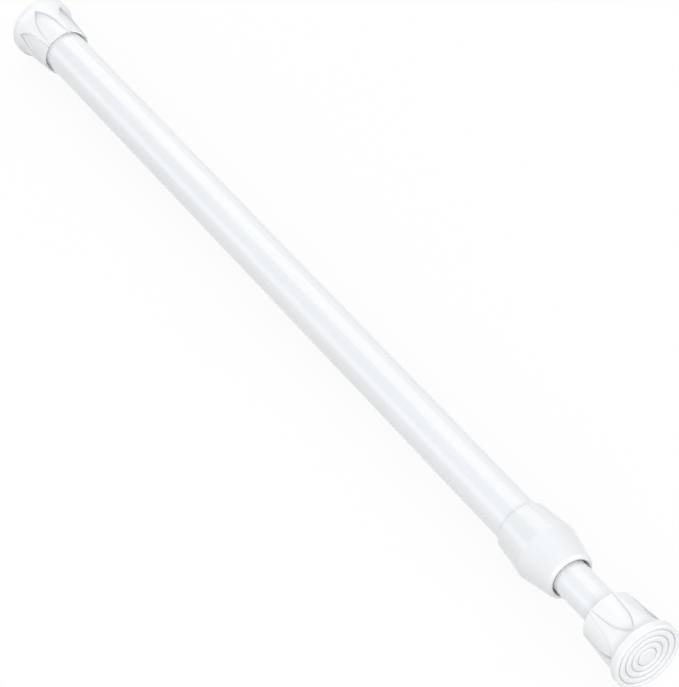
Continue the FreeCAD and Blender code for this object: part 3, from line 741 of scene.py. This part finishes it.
class TENSIONROD_OT_tubes(bpy.types.Operator):
    """Skin the thick and the thin tube"""
    bl_idname = "tension_rod.tubes"
    bl_label = "Tubes"

    def execute(self, context):
        rod = context.scene.tension_rod
        finish = sprayed_coat(rod.colours)
        thick = skin("thick_tube", carry_round(thick_tube_outline(rod.tubes), rod.tubes.sides), closed=True)
        dress(thick, finish, "outer", "outer_tube")
        thin = skin("thin_tube", carry_round(thin_tube_outline(rod.tubes), rod.tubes.sides), closed=True)
        dress(thin, finish, "inner", "inner_tube")
        return {"FINISHED"}


class TENSIONROD_OT_collar(bpy.types.Operator):
    """Skin the double cone on the thick tube's end"""
    bl_idname = "tension_rod.collar"
    bl_label = "Collar"

    def execute(self, context):
        rod = context.scene.tension_rod
        outline = collar_outline(rod.collar)
        grid = carry_round(outline, rod.collar.sides)
        # Painted shade on the mouth's level end, round the thin tube.
        dust = np.broadcast_to(mouth_shade_share(outline, rod.collar), grid.shape[:2])
        piece = skin("double_cone", grid, closed=True, dust=dust)
        dress(piece, moulded_plastic(rod.colours), "outer", "collar")
        return {"FINISHED"}


class TENSIONROD_OT_feet(bpy.types.Operator):
    """Skin the two leaf-sided feet with ringed faces"""
    bl_idname = "tension_rod.feet"
    bl_label = "Feet"

    def execute(self, context):
        rod = context.scene.tension_rod
        for node, body, tube, facing in (("rear_foot", "outer", "outer_tube", -1.0),
                                         ("front_foot", "inner", "inner_tube", 1.0)):
            rear, front, rim_radius = tube_ends(node)
            socket = tube_ends(tube)[2] + rod.feet.socket_gap
            face_place = front if facing > 0 else rear
            # The second grid is painted shade in the grooves and along the leaves' walls.
            grid, dust = foot_grid(rod.feet, rim_radius, front - rear, socket, face_place, facing)
            piece = skin(f"{node}_moulding", grid, closed=False, dust=dust)
            dress(piece, moulded_rubber(rod.colours), body, node)
        return {"FINISHED"}


class TENSIONROD_OT_spring(bpy.types.Operator):
    """Wind the hidden spring, which shortens as the rod is pressed"""
    bl_idname = "tension_rod.spring"
    bl_label = "Spring"

    def execute(self, context):
        rod = context.scene.tension_rod
        piece = skin("coil_spring", spring_grid(rod.spring), closed=False)
        dress(piece, spring_wire(rod.colours), "core", "compression_spring")
        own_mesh(piece)
        return {"FINISHED"}


class TENSIONROD_OT_lock(bpy.types.Operator):
    """Finish the hidden pieces of the lock, which keep their own shapes"""
    bl_idname = "tension_rod.lock"
    bl_label = "Lock"

    def execute(self, context):
        colours = context.scene.tension_rod.colours
        for finish, nodes in ((lock_nylon(colours), ("lock_ring", "spindle", "guide_bush")),
                              (zinc_plate(colours), ("tail_washer", "tail_screw"))):
            for node in nodes:
                for slot in bpy.data.objects[node].material_slots:
                    slot.material = finish
        return {"FINISHED"}


def seen_directly(tree, place):
    """Value that is 1 for rays from the camera and for mirrored and refracted rays, and 0 for others."""
    path = add_node(tree, "ShaderNodeLightPath", place)
    mirrored = add_node(tree, "ShaderNodeMath", (place[0] + 200, place[1]), operation="MAXIMUM")
    refracted = add_node(tree, "ShaderNodeMath", (place[0] + 400, place[1]), operation="MAXIMUM")
    tree.links.new(path.outputs["Is Camera Ray"], mirrored.inputs[0])
    tree.links.new(path.outputs["Is Glossy Ray"], mirrored.inputs[1])
    tree.links.new(mirrored.outputs["Value"], refracted.inputs[0])
    tree.links.new(path.outputs["Is Transmission Ray"], refracted.inputs[1])
    return refracted.outputs["Value"]


def light_world(studio):
    """Even light from all round, and plain white where the world itself is seen."""
    world = bpy.data.worlds.new("studio_world")
    world.use_nodes = True
    tree = world.node_tree
    tree.nodes.clear()
    result = add_node(tree, "ShaderNodeOutputWorld", (600, 0))
    either = add_node(tree, "ShaderNodeMixShader", (400, 0))
    even = add_node(tree, "ShaderNodeBackground", (150, -60))
    white = add_node(tree, "ShaderNodeBackground", (150, -220))
    even.inputs["Strength"].default_value = studio.ambient
    even.inputs["Color"].default_value = (*studio.ambient_tint, 1.0)
    white.inputs["Color"].default_value = (1.0, 1.0, 1.0, 1.0)
    tree.links.new(seen_directly(tree, (-500, 200)), either.inputs["Fac"])
    tree.links.new(even.outputs["Background"], either.inputs[1])
    tree.links.new(white.outputs["Background"], either.inputs[2])
    tree.links.new(either.outputs["Shader"], result.inputs["Surface"])
    bpy.context.scene.world = world


def lay_floor(studio):
    """Pale floor under the feet. Where it is seen, an even glow takes most of its place, so that only a
    faint shadow is left."""
    reach, height = studio.floor_reach, CAD_BOX[0].z
    mesh = bpy.data.meshes.new("floor")
    corners = [(x * reach, y * reach, height) for x, y in ((-1, -1), (1, -1), (1, 1), (-1, 1))]
    mesh.from_pydata(corners, [], [(0, 1, 2, 3)])
    floor = bpy.data.objects.new("floor", mesh)
    bpy.context.collection.objects.link(floor)
    material = bpy.data.materials.new("pale_floor")
    material.use_nodes = True
    tree = material.node_tree
    tree.nodes.clear()
    result = add_node(tree, "ShaderNodeOutputMaterial", (700, 0))
    either = add_node(tree, "ShaderNodeMixShader", (500, 0))
    matt = add_node(tree, "ShaderNodeBsdfDiffuse", (250, -60))
    white = add_node(tree, "ShaderNodeEmission", (250, -220))
    lifted = add_node(tree, "ShaderNodeMath", (250, 160), operation="MULTIPLY")
    matt.inputs["Color"].default_value = (*studio.floor, 1.0)
    white.inputs["Strength"].default_value = studio.floor_glow
    lifted.inputs[1].default_value = studio.floor_white
    tree.links.new(seen_directly(tree, (-500, 200)), lifted.inputs[0])
    tree.links.new(lifted.outputs["Value"], either.inputs["Fac"])
    tree.links.new(matt.outputs["BSDF"], either.inputs[1])
    tree.links.new(white.outputs["Emission"], either.inputs[2])
    tree.links.new(either.outputs["Shader"], result.inputs["Surface"])
    mesh.materials.append(material)


def hang_lamp(name, along, turn, width, height, radiance, colour):
    """Soft box at a place along the rod's line and an angle about it, in degrees, facing that line.

    Its power is pi times its area times its radiance.
    """
    data = bpy.data.lights.new(name, "AREA")
    data.shape = "RECTANGLE"
    data.size, data.size_y = width, height
    data.energy = math.pi * width * height * radiance
    data.color = colour
    lamp = bpy.data.objects.new(name, data)
    outwards = Vector((0.0, math.cos(math.radians(turn)), math.sin(math.radians(turn))))
    lamp.location = Vector((along, 0.0, 0.0)) + outwards * LAMP_DISTANCE
    lamp.rotation_mode = "QUATERNION"
    lamp.rotation_quaternion = (-outwards).to_track_quat("-Z", "Y")
    bpy.context.collection.objects.link(lamp)


def stand_camera(studio):
    """Camera over the front foot's side, looking down along the rod."""
    data = bpy.data.cameras.new("camera")
    data.lens = studio.lens
    camera = bpy.data.objects.new("camera", data)
    camera.location = studio.camera_place
    camera.rotation_euler = (math.pi / 2 - studio.camera_pitch, 0.0, studio.camera_yaw)
    bpy.context.collection.objects.link(camera)
    bpy.context.scene.camera = camera


class TENSIONROD_OT_stage(bpy.types.Operator):
    """Set the floor, the soft boxes, the world and the camera"""
    bl_idname = "tension_rod.stage"
    bl_label = "Stage"

    def execute(self, context):
        studio = context.scene.tension_rod.studio
        light_world(studio)
        lay_floor(studio)
        for lamp in LAMPS:
            hang_lamp(*lamp)
        stand_camera(studio)
        context.scene.view_settings.view_transform = "Standard"
        return {"FINISHED"}


STEPS = (TENSIONROD_OT_tubes, TENSIONROD_OT_collar, TENSIONROD_OT_feet, TENSIONROD_OT_spring,
         TENSIONROD_OT_lock, TENSIONROD_OT_stage)


class TENSIONROD_PT_panel(bpy.types.Panel):
    """Lists the rod's pieces and its sizes"""
    bl_label = "Spring Tension Rod"
    bl_idname = "TENSIONROD_PT_panel"
    bl_space_type = "VIEW_3D"
    bl_region_type = "UI"
    bl_category = "Tension Rod"

    def draw(self, context):
        rod = context.scene.tension_rod
        for step in STEPS:
            self.layout.operator(step.bl_idname)
        for group in (rod.tubes, rod.collar, rod.feet, rod.spring, rod.colours, rod.studio):
            box = self.layout.box()
            for name in group.__annotations__:
                box.prop(group, name)


CLASSES = (TubeSizes, CollarSizes, FootSizes, SpringSizes, FinishColours, StudioSizes, RodSettings,
           *STEPS, TENSIONROD_PT_panel)


def register():
    """Give Blender the rod's classes and its settings."""
    for entry in CLASSES:
        bpy.utils.register_class(entry)
    bpy.types.Scene.tension_rod = PointerProperty(type=RodSettings)


def unregister():
    """Take the settings and the classes out again."""
    del bpy.types.Scene.tension_rod
    for entry in reversed(CLASSES):
        bpy.utils.unregister_class(entry)


def main():
    """Build the rod and its studio."""
    register()
    bpy.ops.tension_rod.tubes()
    bpy.ops.tension_rod.collar()
    bpy.ops.tension_rod.feet()
    bpy.ops.tension_rod.spring()
    bpy.ops.tension_rod.lock()
    bpy.ops.tension_rod.stage()


if __name__ == "__main__":
    main()
